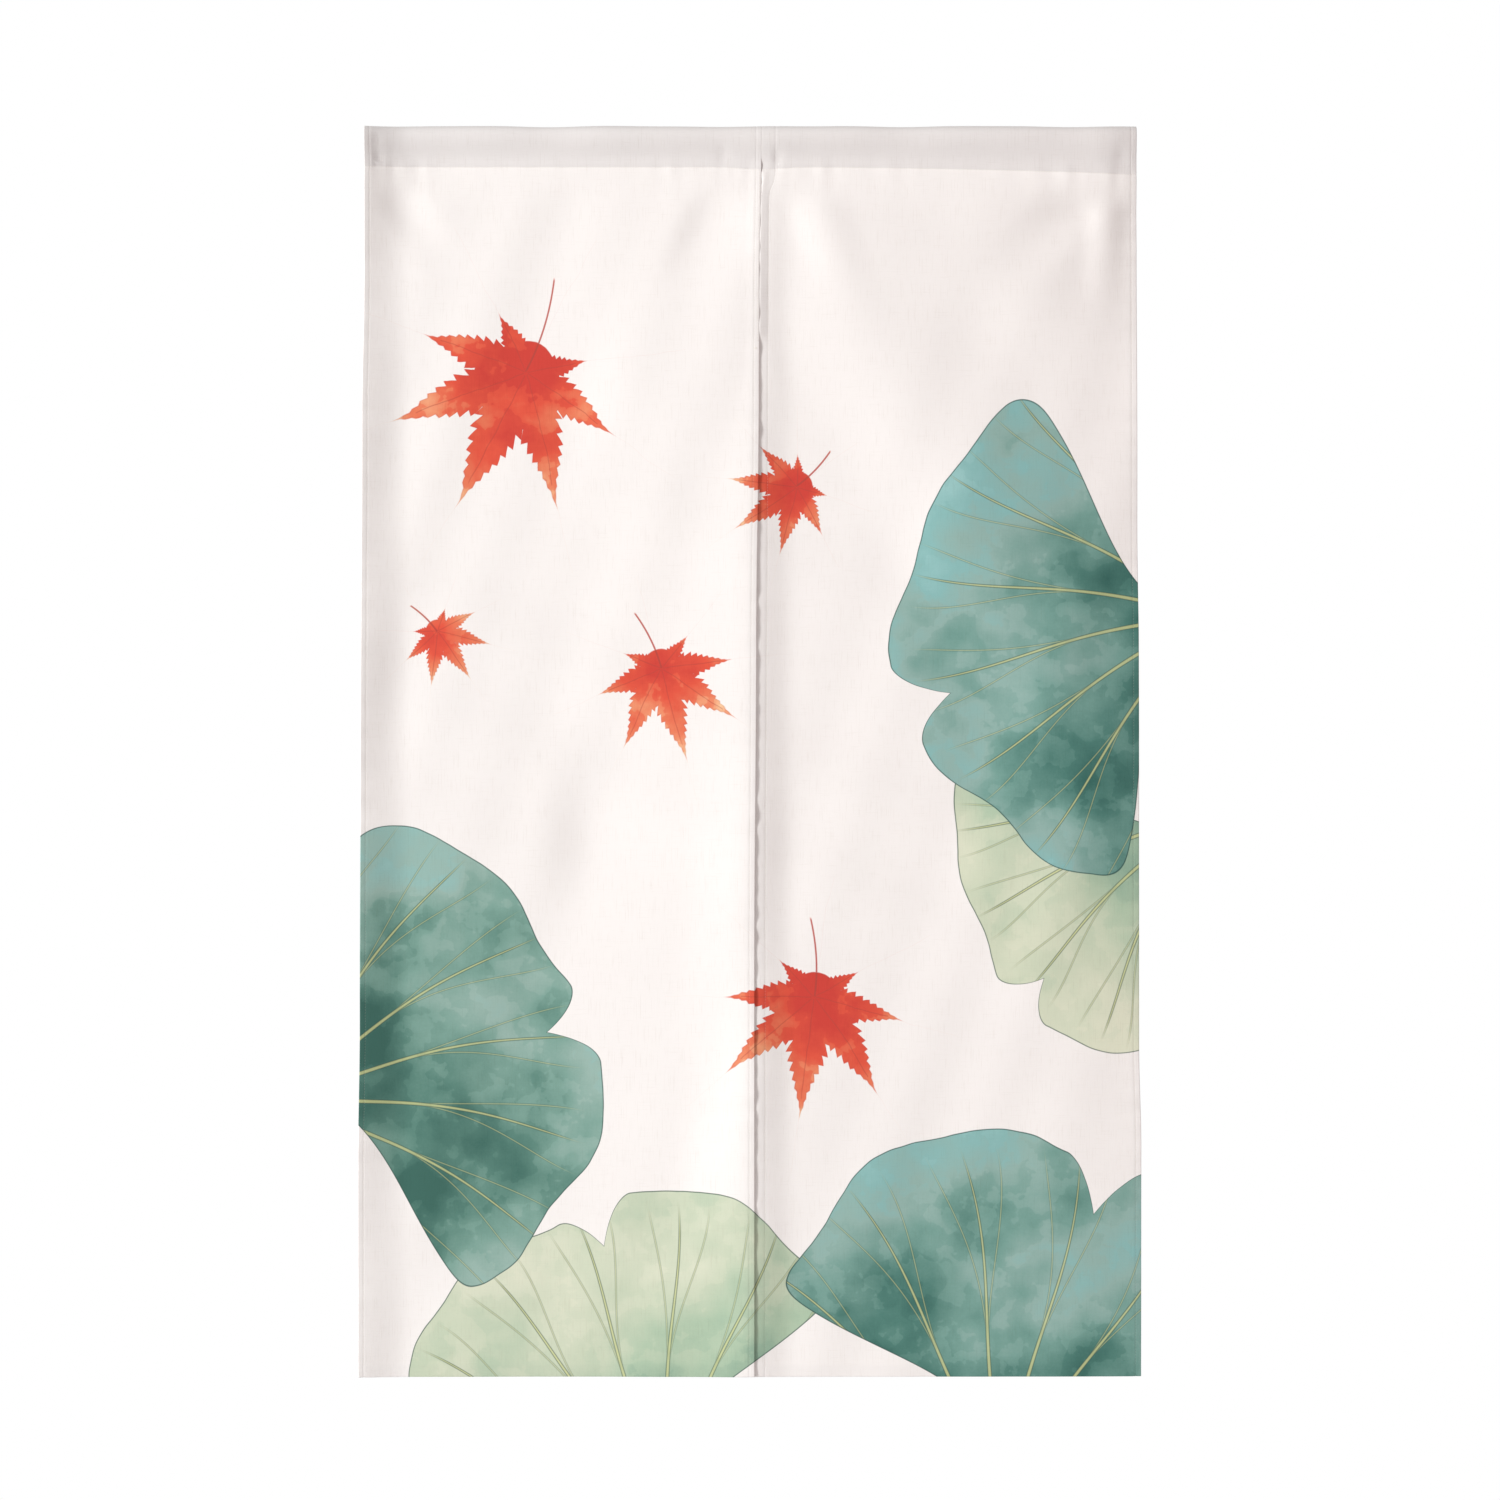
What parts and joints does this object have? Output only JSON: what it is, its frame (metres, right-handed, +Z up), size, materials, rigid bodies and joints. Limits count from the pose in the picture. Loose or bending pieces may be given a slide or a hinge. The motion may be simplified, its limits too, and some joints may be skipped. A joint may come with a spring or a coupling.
{
  "type": "door curtain",
  "caption": "Split doorway curtain of linen-look cloth: printed drops joined at the top and open below, hung from a sewn rod pocket.",
  "frame": {"origin": "middle of the curtain's top fold, where the pocket lies on its rod", "axes": "+Z up along the drop, +X across to the viewer's right, -Y the printed front"},
  "size_m": [0.7515, 0.0288, 1.1999],
  "materials": {
    "printed_cloth": "matt linen-look weave, off-white, with a watercolour leaf print in teal greens and orange reds",
    "heading_cloth": "matt linen-look weave, off-white, unprinted"
  },
  "bodies": {
    "root": {"left_panel": "printed_cloth", "right_panel": "printed_cloth", "left_rod_pocket": "heading_cloth", "right_rod_pocket": "heading_cloth"}
  },
  "joints": []
}
